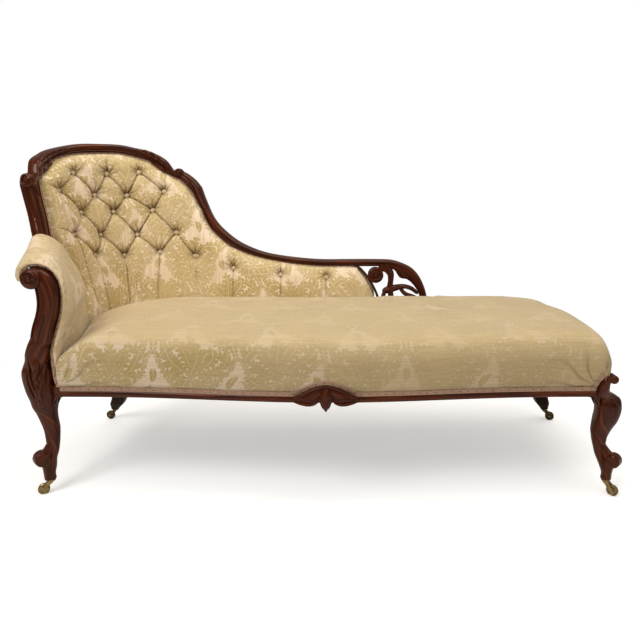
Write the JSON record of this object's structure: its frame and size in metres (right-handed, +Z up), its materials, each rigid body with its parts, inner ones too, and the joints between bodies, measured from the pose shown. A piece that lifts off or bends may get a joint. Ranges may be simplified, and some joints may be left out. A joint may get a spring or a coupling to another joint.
{
  "type": "chaise longue",
  "caption": "Chaise longue with a raised, buttoned back that wraps round the head end, a scroll-over arm, a sprung seat, carved legs and swivelling casters.",
  "frame": {"origin": "middle of the couch's bounding box, at the floor", "axes": "+X towards the foot end, which has no arm; +Y towards the back; +Z up"},
  "size_m": [1.7711, 0.6939, 1.022],
  "materials": {
    "mahogany": "dark reddish mahogany, hand polished to a gloss",
    "beech": "plain sawn beech, unfinished, hidden by the upholstery",
    "damask": "ribbed cotton damask, olive-gold scrolling leaves on a pale cream ground",
    "gimp": "woven braid, pinkish beige, held with small tacks",
    "jute": "jute webbing and hessian",
    "bottoming": "black cotton bottoming cloth",
    "brass": "cast brass, aged",
    "steel": "drawn steel wire and pins"
  },
  "bodies": {
    "couch": {"front_seat_rail": "mahogany", "rear_seat_rail": "beech", "foot_end_rail": "mahogany", "head_end_rail": "beech", "cross_stretcher": "beech", "corner_blocks": "beech", "head_leg": "mahogany", "foot_leg": "mahogany", "rear_head_leg": "mahogany", "rear_foot_leg": "mahogany", "apron_carving": "mahogany", "head_stile": "mahogany", "crest_rail": "mahogany", "sweep_rail": "mahogany", "end_post": "mahogany", "pierced_bracket": "mahogany", "back_gimp": "gimp", "back_uprights": "beech", "back_tacking_rail": "beech", "back_webbing": "jute", "back_hessian": "jute", "back_pad": "damask", "back_buttons": "damask", "outside_back_cover": "damask", "arm_roll_rail": "beech", "arm_tacking_rail": "beech", "arm_hessian": "jute", "arm_pad": "damask", "arm_gimp": "gimp", "arm_outside_cover": "damask", "seat_webbing": "jute", "seat_springs": "steel", "seat_hessian": "jute", "seat_pad": "damask", "seat_gimp": "gimp", "dust_cover": "bottoming", "head_front_plate": "brass", "foot_front_plate": "brass", "head_rear_plate": "brass", "foot_rear_plate": "brass"},
    "head_front_caster": {"head_front_fork": "brass", "head_front_axle": "steel"},
    "head_front_roller": {"head_front_wheel": "brass"},
    "foot_front_caster": {"foot_front_fork": "brass", "foot_front_axle": "steel"},
    "foot_front_roller": {"foot_front_wheel": "brass"},
    "head_rear_caster": {"head_rear_fork": "brass", "head_rear_axle": "steel"},
    "head_rear_roller": {"head_rear_wheel": "brass"},
    "foot_rear_caster": {"foot_rear_fork": "brass", "foot_rear_axle": "steel"},
    "foot_rear_roller": {"foot_rear_wheel": "brass"}
  },
  "joints": [
    {"name": "head_front_swivel", "type": "hinge", "parent": "couch", "child": "head_front_caster", "pos_m": [-0.77935, -0.26862, 0.041], "axis": [0, 0, 1], "continuous": true},
    {"name": "head_front_roll", "type": "hinge", "parent": "head_front_caster", "child": "head_front_roller", "pos_m": [-0.80002, -0.27615, 0.016], "axis": [0.342, -0.9397, 0], "continuous": true},
    {"name": "foot_front_swivel", "type": "hinge", "parent": "couch", "child": "foot_front_caster", "pos_m": [0.83665, -0.26862, 0.041], "axis": [0, 0, 1], "continuous": true},
    {"name": "foot_front_roll", "type": "hinge", "parent": "foot_front_caster", "child": "foot_front_roller", "pos_m": [0.85221, -0.28418, 0.016], "axis": [0.7071, 0.7071, 0], "continuous": true},
    {"name": "head_rear_swivel", "type": "hinge", "parent": "couch", "child": "head_rear_caster", "pos_m": [-0.79135, 0.26138, 0.041], "axis": [0, 0, 1], "continuous": true},
    {"name": "head_rear_roll", "type": "hinge", "parent": "head_rear_caster", "child": "head_rear_roller", "pos_m": [-0.81301, 0.2652, 0.016], "axis": [-0.1736, -0.9848, 0], "continuous": true},
    {"name": "foot_rear_swivel", "type": "hinge", "parent": "couch", "child": "foot_rear_caster", "pos_m": [0.84865, 0.26138, 0.041], "axis": [0, 0, 1], "continuous": true},
    {"name": "foot_rear_roll", "type": "hinge", "parent": "foot_rear_caster", "child": "foot_rear_roller", "pos_m": [0.86933, 0.25385, 0.016], "axis": [0.342, 0.9397, 0], "continuous": true}
  ]
}
